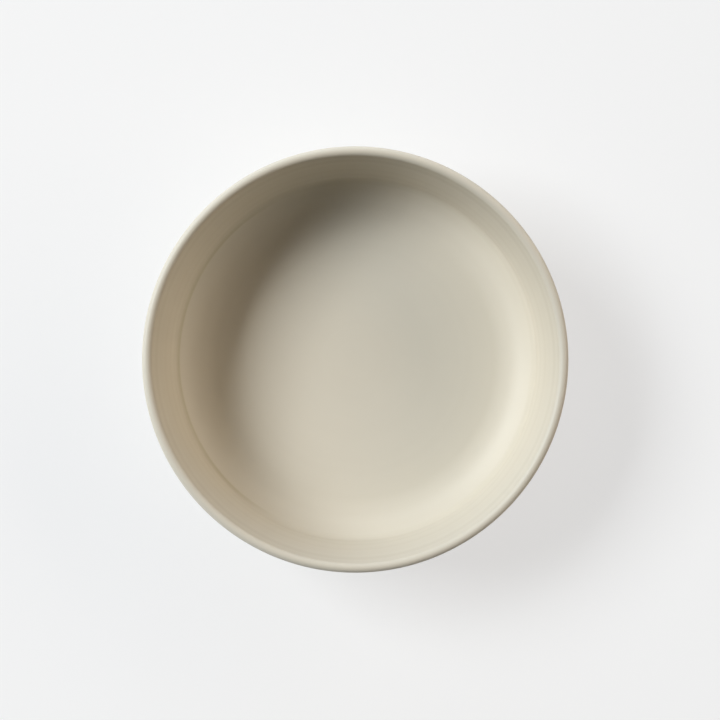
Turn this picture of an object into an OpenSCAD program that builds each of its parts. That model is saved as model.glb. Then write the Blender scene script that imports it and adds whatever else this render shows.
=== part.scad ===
// Low, straight-walled prep bowl in glazed stoneware.
// The bowl stands on the plane z = 0 and turns about the z axis. Sizes are over the glaze,
// as a ruler finds them, unless a comment says bare clay.

/* [Rim] */
// Diameter over the lip
rim_d = 220; // [160:1:320]
// Height from the table to the top of the lip
bowl_h = 62; // [45:0.5:110]
// Thickness of the lip, whose edge is a full round
lip_t = 5.2; // [3:0.1:9]

/* [Wall] */
// Lean of the inside of the wall, from upright, in degrees
wall_lean = 9.5; // [2:0.5:22]
// Thickness of the wall where it turns into the floor
wall_t = 5.8; // [4:0.1:7]
// Radius of the tight inside corner at the foot of the wall
corner_r = 6.5; // [3:0.5:14]

/* [Floor] */
// Thickness of the floor, from the well to the hollow of the foot
floor_t = 6.8; // [5.5:0.1:12]
// Radius of the slow rise from the flat of the well to the corner
cove_r = 34; // [20:1:80]
// Slope of the rise where it meets the corner, in degrees
cove_slope = 37; // [15:1:50]

/* [Foot] */
// Set-back of the foot ring from the edge of the flat of the well
foot_inset = 5.5; // [2:0.5:20]
// Width of the foot ring, bare clay
foot_w = 5; // [3:0.5:10]
// Height of the hollow inside the foot ring above the table
foot_h = 4; // [3.5:0.1:10]
// Radius of the fillets between the foot ring and the underside
foot_fillet_r = 1.5; // [0.5:0.1:2]
// Radius of the rounded edges of the foot ring, bare clay
foot_edge_r = 1; // [0.3:0.1:1.2]

/* [Glaze] */
// Thickness of the glaze
glaze_t = 0.4; // [0.2:0.05:0.6]
// Height above the table where the glaze stops and leaves the foot bare
glaze_stop_h = 1.4; // [1.1:0.1:2]

/* [Hidden] */

// Steps round the axis, and how far a chord of the section may lie from its true curve
$fn = 180;
chord_error = 0.01;

// Heights of the well and of the underside outside the foot ring
well_z = foot_h + floor_t;
under_z = well_z - wall_t;

// Centre of the full round at the lip
lip_r = lip_t / 2;
lip_c = [rim_d / 2 - lip_r, bowl_h - lip_r];

// Directions square to the inside of the wall and to the end of the rise, out of the clay
wall_out = facing(180 - wall_lean);
rise_out = facing(90 + cove_slope);

// Centre of the corner: it touches the wall, and passes into the rise without a kink
corner_z = well_z + cove_r - (cove_r - corner_r) * rise_out.y;
wall_line = lip_c + (lip_r + corner_r) * wall_out;
corner_c = [wall_line.x - (wall_line.y - corner_z) * tan(wall_lean), corner_z];

// Centre of the rise, over the edge of the flat of the well
cove_c = corner_c + (cove_r - corner_r) * rise_out;

// Direction square to the outside of the wall, which touches the rounds of lip and heel
wall_run = lip_c - corner_c;
outside_a = atan2(wall_run.y, wall_run.x) - acos((corner_r + wall_t - lip_r) / norm(wall_run));

// Faces of the foot ring, bare clay
foot_out = cove_c.x - foot_inset;
foot_in = foot_out - foot_w;

// Centres of the fillets where the foot ring meets the underside, outside and inside
heel_fillet_c = [foot_out + glaze_t + foot_fillet_r, under_z - foot_fillet_r];
hollow_fillet_c = [foot_in - glaze_t - foot_fillet_r, foot_h - foot_fillet_r];

// Unit vector at an angle in the plane of the section
function facing(a) = [cos(a), sin(a)];

// Points of an arc of the section about c, from angle a0 to angle a1
function arc(c, r, a0, a1) =
    let (steps = ceil(abs(a1 - a0) / acos(1 - chord_error / r) / 2))
    [for (i = [0 : steps]) c + r * facing(a0 + (a1 - a0) * i / steps)];

function backwards(points) = [for (i = [len(points) - 1 : -1 : 0]) points[i]];

// The section's line at a depth below the finished surface, from the middle of the well over
// the lip to the outside of the foot ring. Hollow curves widen with depth, full ones shrink.
function upper_line(depth) = concat(
    [[0, well_z - depth]],
    arc(cove_c, cove_r + depth, -90, cove_slope - 90),
    arc(corner_c, corner_r + depth, cove_slope - 90, -wall_lean),
    arc(lip_c, lip_r - depth, 180 - wall_lean, outside_a),
    arc(corner_c, corner_r + wall_t - depth, outside_a, cove_slope - 90),
    arc(cove_c, cove_r + wall_t - depth, cove_slope - 90, -90),
    arc(heel_fillet_c, foot_fillet_r + depth, 90, 180));

// The same from the inside of the foot ring over the hollow to the axis
function hollow_line(depth) = concat(
    arc(hollow_fillet_c, foot_fillet_r + depth, 0, 90),
    [[0, foot_h + depth]]);

// The bare clay of the foot ring, from one stop line of the glaze to the other
function foot_line() = concat(
    [[foot_out, glaze_stop_h]],
    arc([foot_out - foot_edge_r, foot_edge_r], foot_edge_r, 0, -90),
    arc([foot_in + foot_edge_r, foot_edge_r], foot_edge_r, -90, -180),
    [[foot_in, glaze_stop_h]]);

// Fired clay: floor, wall, lip and foot ring in one piece
module stoneware_body() {
    color([0.80, 0.74, 0.64])
    rotate_extrude()
    polygon(concat(upper_line(glaze_t), foot_line(), hollow_line(glaze_t)));
}

// Glass coat over the inside, the lip and the outside, bevelled at its stop line
module glaze_coat() {
    color([0.86, 0.84, 0.77])
    rotate_extrude()
    polygon(concat(
        upper_line(0),
        [[foot_out + glaze_t, glaze_stop_h + glaze_t], [foot_out, glaze_stop_h]],
        backwards(upper_line(glaze_t))));
}

// Glass in the hollow of the foot, cut off from the coat by the bare foot ring
module base_glaze() {
    color([0.84, 0.82, 0.75])
    rotate_extrude()
    polygon(concat(
        [[foot_in, glaze_stop_h], [foot_in - glaze_t, glaze_stop_h + glaze_t]],
        hollow_line(0),
        backwards(hollow_line(glaze_t))));
}

stoneware_body();
glaze_coat();
base_glaze();
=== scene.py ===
import math

import bmesh
import bpy
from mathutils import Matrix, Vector


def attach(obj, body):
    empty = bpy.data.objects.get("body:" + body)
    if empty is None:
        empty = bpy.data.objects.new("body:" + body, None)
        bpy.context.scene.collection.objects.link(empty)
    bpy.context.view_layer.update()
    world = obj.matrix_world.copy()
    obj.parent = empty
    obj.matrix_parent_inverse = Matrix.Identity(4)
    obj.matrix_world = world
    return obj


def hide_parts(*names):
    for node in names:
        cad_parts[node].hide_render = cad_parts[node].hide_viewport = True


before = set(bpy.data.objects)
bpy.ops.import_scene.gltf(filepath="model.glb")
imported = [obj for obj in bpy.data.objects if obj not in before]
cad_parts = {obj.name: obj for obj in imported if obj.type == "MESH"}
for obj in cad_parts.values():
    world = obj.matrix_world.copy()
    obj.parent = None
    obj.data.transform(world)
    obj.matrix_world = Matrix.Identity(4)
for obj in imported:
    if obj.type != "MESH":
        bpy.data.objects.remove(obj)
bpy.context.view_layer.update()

# Clay body: warm buff stoneware, thrown in one piece with its foot ring and trimmed on the wheel.
# It is fired before it is glazed, and only the foot ring stays bare.
MM = 0.001
RIM_R = 110 * MM
BOWL_H = 62 * MM
LIP_R = 2.6 * MM
WALL_LEAN = math.radians(9.5)
WALL_T = 5.8 * MM
CORNER_R = 6.5 * MM
WELL_Z = 10.8 * MM
COVE_R = 34 * MM
COVE_SLOPE = math.radians(37)
FOOT_INSET = 5.5 * MM
FOOT_W = 5 * MM
FOOT_H = 4 * MM
FOOT_FILLET_R = 1.5 * MM
FOOT_EDGE_R = 1 * MM
GLAZE_T = 0.4 * MM
GLAZE_STOP_Z = 1.4 * MM
UPRIGHT = math.radians(90)
SECTORS = 16
SECTOR_STEPS = 15
CHORD_ERROR = 0.004 * MM
MERGE_WITHIN = CHORD_ERROR / 4
LONGEST_STRAIGHT = 5 * MM
CLAY_COLOR = (0.55, 0.44, 0.32, 1)
CLAY_LIGHT = (0.66, 0.56, 0.43, 1)
CLOUDS_PER_METRE = 60
CLOUD_DETAIL = 2
CLOUD_SPAN = (0.35, 0.65)
GROG_COLOR = (0.33, 0.25, 0.17, 1)
GROG_PER_METRE = 1700
GROG_SPAN = (0.62, 0.7)
GROG_SHARE = 0.6
FLASH_COLOR = (0.47, 0.31, 0.19, 1)
FLASH_H = 0.9 * MM
FLASH_SHARE = 0.8
GRAIN_PER_METRE = 1100
GRAIN_DETAIL = 3
GRAIN_SPAN = (0.3, 0.7)
GRAIN_DEPTH = 0.06 * MM
CLAY_ROUGHNESS = (0.78, 0.96)
TOOL_MARKS_PER_METRE = 1400
TOOL_MARK_DEPTH = 0.05 * MM
SMOOTH_DETAIL = 1


def facing(angle):
    """Unit vector at an angle in the plane of the section, X outwards and Z up."""
    return Vector((math.cos(angle), 0, math.sin(angle)))


# Centres of the lip's round, of the tight corner that touches the wall, and of the slow rise.
lip_c = Vector((RIM_R - LIP_R, 0, BOWL_H - LIP_R))
wall_out = facing(math.pi - WALL_LEAN)
rise_out = facing(UPRIGHT + COVE_SLOPE)
corner_z = WELL_Z + COVE_R - (COVE_R - CORNER_R) * rise_out.z
wall_line = lip_c + (LIP_R + CORNER_R) * wall_out
corner_c = Vector((wall_line.x - (wall_line.z - corner_z) * math.tan(WALL_LEAN), 0, corner_z))
cove_c = corner_c + (COVE_R - CORNER_R) * rise_out

# Direction square to the outside of the wall, which touches the rounds of lip and heel.
wall_run = lip_c - corner_c
heel_turn = math.acos((CORNER_R + WALL_T - LIP_R) / wall_run.length)
outside_a = math.atan2(wall_run.z, wall_run.x) - heel_turn

# Faces of the foot ring, and centres of the fillets where it meets the underside.
foot_out = cove_c.x - FOOT_INSET
foot_in = foot_out - FOOT_W
under_z = WELL_Z - WALL_T
heel_fillet_c = Vector((foot_out + GLAZE_T + FOOT_FILLET_R, 0, under_z - FOOT_FILLET_R))
hollow_fillet_c = Vector((foot_in - GLAZE_T - FOOT_FILLET_R, 0, FOOT_H - FOOT_FILLET_R))


def line_to(bm, pen, x, z):
    """Draws a straight stretch of the section and returns its new end."""
    new = bmesh.ops.extrude_vert_indiv(bm, verts=[pen])["verts"][0]
    new.co = (x, 0, z)
    return new


def arc_to(bm, pen, centre, start, end, radius):
    """Draws an arc of the section about a centre, joined to the pen by a straight stretch."""
    begin = centre + radius * facing(start)
    pen = line_to(bm, pen, begin.x, begin.z)
    turn = end - start
    steps = math.ceil(abs(turn) / math.acos(1 - CHORD_ERROR / radius) / 2)
    arc = bmesh.ops.spin(bm, geom=[pen], cent=centre, axis=(0, -1, 0), angle=turn, steps=steps)
    return next(v for v in arc["geom_last"] if isinstance(v, bmesh.types.BMVert))


def draw_upper(bm, depth):
    """Draws the section at a depth under the surface, from the well over the lip to the foot."""
    pen = bm.verts.new((0, 0, WELL_Z - depth))
    pen = arc_to(bm, pen, cove_c, -UPRIGHT, COVE_SLOPE - UPRIGHT, COVE_R + depth)
    pen = arc_to(bm, pen, corner_c, COVE_SLOPE - UPRIGHT, -WALL_LEAN, CORNER_R + depth)
    pen = arc_to(bm, pen, lip_c, math.pi - WALL_LEAN, outside_a, LIP_R - depth)
    pen = arc_to(bm, pen, corner_c, outside_a, COVE_SLOPE - UPRIGHT, CORNER_R + WALL_T - depth)
    pen = arc_to(bm, pen, cove_c, COVE_SLOPE - UPRIGHT, -UPRIGHT, COVE_R + WALL_T - depth)
    return arc_to(bm, pen, heel_fillet_c, UPRIGHT, math.pi, FOOT_FILLET_R + depth)


def draw_hollow(bm, pen, depth):
    """Draws the section at a depth under the surface, from the foot ring's inside to the axis."""
    pen = arc_to(bm, pen, hollow_fillet_c, 0, UPRIGHT, FOOT_FILLET_R + depth)
    line_to(bm, pen, 0, FOOT_H + depth)


def turned(name, bm, material):
    """Turns a section through one sector, copies that round the axis, and finishes the piece."""
    bmesh.ops.remove_doubles(bm, verts=bm.verts[:], dist=MERGE_WITHIN)
    for edge in bm.edges[:]:
        cuts = math.ceil(edge.calc_length() / LONGEST_STRAIGHT) - 1
        if cuts:
            bmesh.ops.bisect_edges(bm, edges=[edge], cuts=cuts)
    bmesh.ops.spin(
        bm, geom=bm.verts[:] + bm.edges[:], cent=(0, 0, 0), axis=(0, 0, 1),
        angle=math.tau / SECTORS, steps=SECTOR_STEPS)
    bmesh.ops.spin(
        bm, geom=bm.verts[:] + bm.edges[:] + bm.faces[:], cent=(0, 0, 0), axis=(0, 0, 1),
        angle=math.tau * (SECTORS - 1) / SECTORS, steps=SECTORS - 1, use_duplicate=True)
    bmesh.ops.remove_doubles(bm, verts=bm.verts[:], dist=MERGE_WITHIN)
    bmesh.ops.recalc_face_normals(bm, faces=bm.faces[:])
    mesh = bpy.data.meshes.new(name)
    bm.to_mesh(mesh)
    bm.free()
    mesh.shade_smooth()
    mesh.materials.append(material)
    piece = bpy.data.objects.new(name, mesh)
    bpy.context.scene.collection.objects.link(piece)
    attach(piece, "root")
    return piece


def noise(tree, at, per_metre, detail):
    """Adds a noise with so many cells to the metre and returns its value."""
    node = tree.nodes.new("ShaderNodeTexNoise")
    node.inputs["Scale"].default_value = per_metre
    node.inputs["Detail"].default_value = detail
    tree.links.new(at, node.inputs["Vector"])
    return node.outputs["Fac"]


def spread(tree, value, span, to):
    """Carries a value from one span over to another, held at both ends, and returns it."""
    node = tree.nodes.new("ShaderNodeMapRange")
    for socket, number in zip(("From Min", "From Max", "To Min", "To Max"), span + to):
        node.inputs[socket].default_value = number
    tree.links.new(value, node.inputs["Value"])
    return node.outputs["Result"]


def tinted(tree, share, under, over):
    """Mixes a colour, given as it is or by its socket, with another by a share."""
    node = tree.nodes.new("ShaderNodeMix")
    node.data_type = "RGBA"
    sockets = {socket.identifier: socket for socket in node.inputs}
    tree.links.new(share, sockets["Factor_Float"])
    for socket, color in ((sockets["A_Color"], under), (sockets["B_Color"], over)):
        if isinstance(color, tuple):
            socket.default_value = color
        else:
            tree.links.new(color, socket)
    return next(socket for socket in node.outputs if socket.identifier == "Result_Color")


def embossed(tree, height, depth, normal=None):
    """Adds a bump of so many metres, over another if there is one, and returns its normal."""
    node = tree.nodes.new("ShaderNodeBump")
    node.inputs["Distance"].default_value = depth
    tree.links.new(height, node.inputs["Height"])
    if normal:
        tree.links.new(normal, node.inputs["Normal"])
    return node.outputs["Normal"]


def both(tree, first, second):
    """Multiplies two shares and returns the product."""
    node = tree.nodes.new("ShaderNodeMath")
    node.operation = "MULTIPLY"
    tree.links.new(first, node.inputs[0])
    tree.links.new(second, node.inputs[1])
    return node.outputs["Value"]


def measured(tree, at):
    """Returns the coordinates X, Y and Z of a place, by name, and its distance from the axis."""
    parts = tree.nodes.new("ShaderNodeSeparateXYZ")
    tree.links.new(at, parts.inputs["Vector"])
    flat = tree.nodes.new("ShaderNodeVectorMath")
    flat.operation = "MULTIPLY"
    flat.inputs[1].default_value = (1, 1, 0)
    tree.links.new(at, flat.inputs[0])
    radius = tree.nodes.new("ShaderNodeVectorMath")
    radius.operation = "LENGTH"
    tree.links.new(flat.outputs["Vector"], radius.inputs[0])
    return parts.outputs, radius.outputs["Value"]


def rings(tree, radius, height, per_metre):
    """Adds uneven rings round the axis, on floors and walls alike, and returns their height."""
    along = tree.nodes.new("ShaderNodeMath")
    along.operation = "SUBTRACT"
    tree.links.new(radius, along.inputs[0])
    tree.links.new(height, along.inputs[1])
    node = tree.nodes.new("ShaderNodeTexNoise")
    node.noise_dimensions = "1D"
    node.inputs["Scale"].default_value = per_metre
    node.inputs["Detail"].default_value = SMOOTH_DETAIL
    tree.links.new(along.outputs["Value"], node.inputs["W"])
    return node.outputs["Fac"]


buff = bpy.data.materials.new("buff stoneware")
buff.use_nodes = True
tree = buff.node_tree
shader = tree.nodes["Principled BSDF"]
at = tree.nodes.new("ShaderNodeTexCoord").outputs["Object"]
place, radius = measured(tree, at)
clouds = noise(tree, at, CLOUDS_PER_METRE, CLOUD_DETAIL)
color = tinted(tree, spread(tree, clouds, CLOUD_SPAN, (0, 1)), CLAY_COLOR, CLAY_LIGHT)
grog = noise(tree, at, GROG_PER_METRE, SMOOTH_DETAIL)
color = tinted(tree, spread(tree, grog, GROG_SPAN, (0, GROG_SHARE)), color, GROG_COLOR)
flash = spread(tree, place["Z"], (GLAZE_STOP_Z - FLASH_H, GLAZE_STOP_Z), (0, FLASH_SHARE))
color = tinted(tree, flash, color, FLASH_COLOR)
grain = noise(tree, at, GRAIN_PER_METRE, GRAIN_DETAIL)
tool_marks = rings(tree, radius, place["Z"], TOOL_MARKS_PER_METRE)
normal = embossed(tree, tool_marks, TOOL_MARK_DEPTH)
normal = embossed(tree, grain, GRAIN_DEPTH, normal)
tree.links.new(color, shader.inputs["Base Color"])
tree.links.new(spread(tree, grain, GRAIN_SPAN, CLAY_ROUGHNESS), shader.inputs["Roughness"])
tree.links.new(normal, shader.inputs["Normal"])

bm = bmesh.new()
pen = draw_upper(bm, GLAZE_T)
outer_edge_c = Vector((foot_out - FOOT_EDGE_R, 0, FOOT_EDGE_R))
pen = arc_to(bm, pen, outer_edge_c, 0, -UPRIGHT, FOOT_EDGE_R)
inner_edge_c = Vector((foot_in + FOOT_EDGE_R, 0, FOOT_EDGE_R))
pen = arc_to(bm, pen, inner_edge_c, -UPRIGHT, -math.pi, FOOT_EDGE_R)
draw_hollow(bm, pen, GLAZE_T)
clay = turned("clay", bm, buff)
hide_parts("stoneware_body")

# Glaze coat: glass fused to the clay over the inside, the lip and the outside. It is poured and
# dipped as a slip, fired to a soft sheen, and wiped off just above the foot, where it ends in a
# bead. A painted shade darkens it along the foot of the wall on the key lamp's side, where the
# inside lies in shade.
GLAZE_COLOR = (0.662, 0.612, 0.512, 1)
GLAZE_PALE = (0.678, 0.628, 0.528, 1)
PALE_PER_METRE = 14
GLAZE_THIN = (0.64, 0.588, 0.486, 1)
RINGS_PER_METRE = 150
RING_SPAN = (0.42, 0.68)
RING_SHARE = 0.9
RING_SHARE_IN_WELL = 0.12
RING_DEPTH = 0.03 * MM
# Painted shade: a darker colour for the band in the corner on the shaded side, with its sizes.
CORNER_SHADE_COLOR = (0.545, 0.495, 0.362, 1)
SHADE_EDGE_H = 0.6 * MM
SHADE_FADE_H = 1.7 * MM
SHADE_SIDE_X = (-68 * MM, -42 * MM)
SHADE_LEAST = 0.12
CORNER_BAND_DEPTH = 0.12 * MM
SPECK_COLOR = (0.21, 0.14, 0.08, 1)
SPECKS_PER_METRE = 60
SPECK_R = 0.28 * MM
SPECK_SHARE = 0.6
GLAZE_GLOSS = 0.25
GLAZE_ROUGHNESS = (0.4, 0.46)
DULL_PER_METRE = 30
SOFT_SPAN = (0.2, 0.8)

bone = bpy.data.materials.new("bone glaze")
bone.use_nodes = True
tree = bone.node_tree
shader = tree.nodes["Principled BSDF"]
shader.inputs["Specular IOR Level"].default_value = GLAZE_GLOSS
at = tree.nodes.new("ShaderNodeTexCoord").outputs["Object"]
place, radius = measured(tree, at)

# The painted corner shade starts at once where the rise meets the corner and fades up the wall.
# It is kept off the outside, and most of it lies on the key lamp's side, where the inside is
# shaded.
corner_low = corner_c.z - CORNER_R * math.cos(COVE_SLOPE)
wall_mid = corner_c.x + CORNER_R + WALL_T / 2
painted_corner_shade = both(
    tree, spread(tree, place["Z"], (corner_low - SHADE_EDGE_H, corner_low), (0, 1)),
    spread(tree, place["Z"], (corner_low, corner_low + SHADE_FADE_H), (1, 0)))
painted_corner_shade = both(tree, painted_corner_shade, spread(tree, radius, (wall_mid, wall_mid + GLAZE_T), (1, 0)))
painted_corner_shade = both(tree, painted_corner_shade, spread(tree, place["X"], SHADE_SIDE_X, (1, SHADE_LEAST)))

# The throwing rings show on the walls and are all but smoothed away in the well.
ridges = rings(tree, radius, place["Z"], RINGS_PER_METRE)
on_wall = spread(tree, place["Z"], (WELL_Z, corner_low), (RING_SHARE_IN_WELL, 1))
thin = both(tree, on_wall, spread(tree, ridges, RING_SPAN, (0, RING_SHARE)))

specks = tree.nodes.new("ShaderNodeTexVoronoi")
specks.inputs["Scale"].default_value = SPECKS_PER_METRE
tree.links.new(at, specks.inputs["Vector"])
speck_edge = SPECK_R * SPECKS_PER_METRE
speckled = spread(
    tree, specks.outputs["Distance"], (speck_edge / 2, speck_edge), (SPECK_SHARE, 0))

paler = noise(tree, at, PALE_PER_METRE, SMOOTH_DETAIL)
color = tinted(tree, spread(tree, paler, SOFT_SPAN, (0, 1)), GLAZE_COLOR, GLAZE_PALE)
color = tinted(tree, thin, color, GLAZE_THIN)
# Painted shade: the corner band on the shaded side darkens the glaze colour here.
color = tinted(tree, painted_corner_shade, color, CORNER_SHADE_COLOR)
color = tinted(tree, speckled, color, SPECK_COLOR)
duller = noise(tree, at, DULL_PER_METRE, SMOOTH_DETAIL)
normal = embossed(tree, both(tree, on_wall, ridges), RING_DEPTH)
normal = embossed(tree, painted_corner_shade, CORNER_BAND_DEPTH, normal)
tree.links.new(color, shader.inputs["Base Color"])
tree.links.new(spread(tree, duller, SOFT_SPAN, GLAZE_ROUGHNESS), shader.inputs["Roughness"])
tree.links.new(normal, shader.inputs["Normal"])

bm = bmesh.new()
pen = draw_upper(bm, 0)
arc_to(bm, pen, Vector((foot_out, 0, GLAZE_STOP_Z + GLAZE_T)), 0, -UPRIGHT, GLAZE_T)
pen = draw_upper(bm, GLAZE_T)
line_to(bm, pen, foot_out, GLAZE_STOP_Z)
glaze = turned("glaze", bm, bone)
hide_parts("glaze_coat")

# Base glaze: the same glass in the hollow of the foot, where the slip was swilled before the foot
# ring was wiped clean. It ends in a bead on the inside of the ring.
bm = bmesh.new()
pen = bm.verts.new((foot_in, 0, GLAZE_STOP_Z))
pen = arc_to(
    bm, pen, Vector((foot_in, 0, GLAZE_STOP_Z + GLAZE_T)), -UPRIGHT, -math.pi, GLAZE_T)
draw_hollow(bm, pen, 0)
draw_hollow(bm, bm.verts.new((foot_in, 0, GLAZE_STOP_Z)), GLAZE_T)
hollow_glaze = turned("hollow_glaze", bm, bone)
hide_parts("base_glaze")

# Table: a plain round sheet, matt and pale. The camera and the gloss see it near white, and it
# keeps the bowl's shadow.
TABLE_R = 4.0
TABLE_SIDES = 96
TABLE_TONE = 0.95
SEEN_TONE = 0.912
SEEN_SHARE = 0.685


def seen_share(tree, share):
    """Gives the share to rays that look, straight or by gloss or glass, and 0 to light."""
    path = tree.nodes.new("ShaderNodeLightPath")
    either = path.outputs["Is Camera Ray"]
    for other in ("Is Glossy Ray", "Is Transmission Ray"):
        larger = tree.nodes.new("ShaderNodeMath")
        larger.operation = "MAXIMUM"
        tree.links.new(either, larger.inputs[0])
        tree.links.new(path.outputs[other], larger.inputs[1])
        either = larger.outputs["Value"]
    part = tree.nodes.new("ShaderNodeMath")
    part.operation = "MULTIPLY"
    part.inputs[1].default_value = share
    tree.links.new(either, part.inputs[0])
    return part.outputs["Value"]


bm = bmesh.new()
bmesh.ops.create_circle(bm, cap_ends=True, radius=TABLE_R, segments=TABLE_SIDES)
mesh = bpy.data.meshes.new("table")
bm.to_mesh(mesh)
bm.free()
table = bpy.data.objects.new("table", mesh)
bpy.context.scene.collection.objects.link(table)

pale = bpy.data.materials.new("pale table")
pale.use_nodes = True
tree = pale.node_tree
tree.nodes.clear()
out = tree.nodes.new("ShaderNodeOutputMaterial")
sheet = tree.nodes.new("ShaderNodeBsdfDiffuse")
sheet.inputs["Color"].default_value = (TABLE_TONE, TABLE_TONE, TABLE_TONE, 1)
glow = tree.nodes.new("ShaderNodeEmission")
glow.inputs["Color"].default_value = (SEEN_TONE, SEEN_TONE, SEEN_TONE, 1)
mix = tree.nodes.new("ShaderNodeMixShader")
tree.links.new(seen_share(tree, SEEN_SHARE), mix.inputs["Fac"])
tree.links.new(sheet.outputs["BSDF"], mix.inputs[1])
tree.links.new(glow.outputs["Emission"], mix.inputs[2])
tree.links.new(mix.outputs["Shader"], out.inputs["Surface"])
mesh.materials.append(pale)

# Key lamp: one wide soft box to the left of the camera. It hangs far enough away to light the
# table evenly.
KEY_AZIMUTH = math.radians(157.5)
KEY_ELEVATION = math.radians(40.2)
KEY_DISTANCE = 4.4
KEY_W = 2.6
KEY_H = 1.7
KEY_POWER = 228
KEY_COLOR = (0.935, 0.975, 1.0)


def lamp_at(name, azimuth, elevation, distance, width, height, power, color):
    """Hangs a soft box so far from the middle of the bowl's rim, facing it."""
    lamp = bpy.data.lights.new(name, "AREA")
    lamp.shape = "RECTANGLE"
    lamp.size = width
    lamp.size_y = height
    lamp.energy = power
    lamp.color = color
    box = bpy.data.objects.new(name, lamp)
    level = facing(elevation)
    toward = Vector((level.x * math.cos(azimuth), level.x * math.sin(azimuth), level.z))
    box.location = Vector((0, 0, BOWL_H)) + distance * toward
    box.rotation_euler = (-toward).to_track_quat("-Z", "Y").to_euler()
    box.visible_camera = False
    bpy.context.scene.collection.objects.link(box)
    return box


lamp_at("key", KEY_AZIMUTH, KEY_ELEVATION, KEY_DISTANCE, KEY_W, KEY_H, KEY_POWER, KEY_COLOR)

# Fill: a large warm white card, low on the other side. It lights the walls that the key leaves
# dark.
FILL_AZIMUTH = math.radians(21)
FILL_ELEVATION = math.radians(25.5)
FILL_DISTANCE = 5.2
FILL_W = 6.2
FILL_H = 1.9
FILL_POWER = 134
FILL_COLOR = (1.0, 0.85, 0.69)
lamp_at(
    "fill", FILL_AZIMUTH, FILL_ELEVATION, FILL_DISTANCE, FILL_W, FILL_H, FILL_POWER, FILL_COLOR)

# Far wall: a pale wall behind the bowl, low over the table. It gives a little cool light back to
# the near wall of the bowl.
FAR_AZIMUTH = math.radians(96)
FAR_ELEVATION = math.radians(12)
FAR_DISTANCE = 5.2
FAR_W = 3.2
FAR_H = 2.2
FAR_POWER = 63
FAR_COLOR = (0.56, 0.74, 1.0)
lamp_at("far wall", FAR_AZIMUTH, FAR_ELEVATION, FAR_DISTANCE, FAR_W, FAR_H, FAR_POWER, FAR_COLOR)

# Gloss card: a pale card on the right, hung for its reflection alone. It puts a cool sheen on the
# rise of the floor at the left and on the lip.
CARD_AZIMUTH = math.radians(-8)
CARD_ELEVATION = math.radians(27)
CARD_DISTANCE = 2.5
CARD_W = 5.0
CARD_H = 0.9
CARD_POWER = 18
CARD_COLOR = (0.84, 1.0, 1.0)
card = lamp_at(
    "gloss card", CARD_AZIMUTH, CARD_ELEVATION, CARD_DISTANCE, CARD_W, CARD_H, CARD_POWER,
    CARD_COLOR)
card.visible_diffuse = False

# Room: the pale wall behind the table. The camera, gloss and glass see it as pale as the lit
# table, and it lights nothing.
ROOM_TONE = 0.89
world = bpy.data.worlds.new("room")
world.use_nodes = True
tree = world.node_tree
sky = tree.nodes["Background"]
sky.inputs["Color"].default_value = (ROOM_TONE, ROOM_TONE, ROOM_TONE, 1)
tree.links.new(seen_share(tree, 1), sky.inputs["Strength"])
bpy.context.scene.world = world

# Camera: straight above the bowl. The rim has the size and the place that it has in the
# photograph.
FRAME_PX = 720
RIM_PX = 213.9
BOWL_PX = (355.2, 359.5)
CAMERA_ABOVE_RIM = 0.78
SENSOR = 36.0
view = bpy.data.cameras.new("camera")
view.sensor_width = SENSOR
px_per_m = RIM_PX / RIM_R
view.lens = px_per_m * CAMERA_ABOVE_RIM / FRAME_PX * SENSOR
camera = bpy.data.objects.new("camera", view)
camera.location = (
    (FRAME_PX / 2 - BOWL_PX[0]) / px_per_m,
    (BOWL_PX[1] - FRAME_PX / 2) / px_per_m,
    BOWL_H + CAMERA_ABOVE_RIM)
bpy.context.scene.collection.objects.link(camera)
bpy.context.scene.camera = camera
bpy.context.scene.view_settings.view_transform = "Standard"
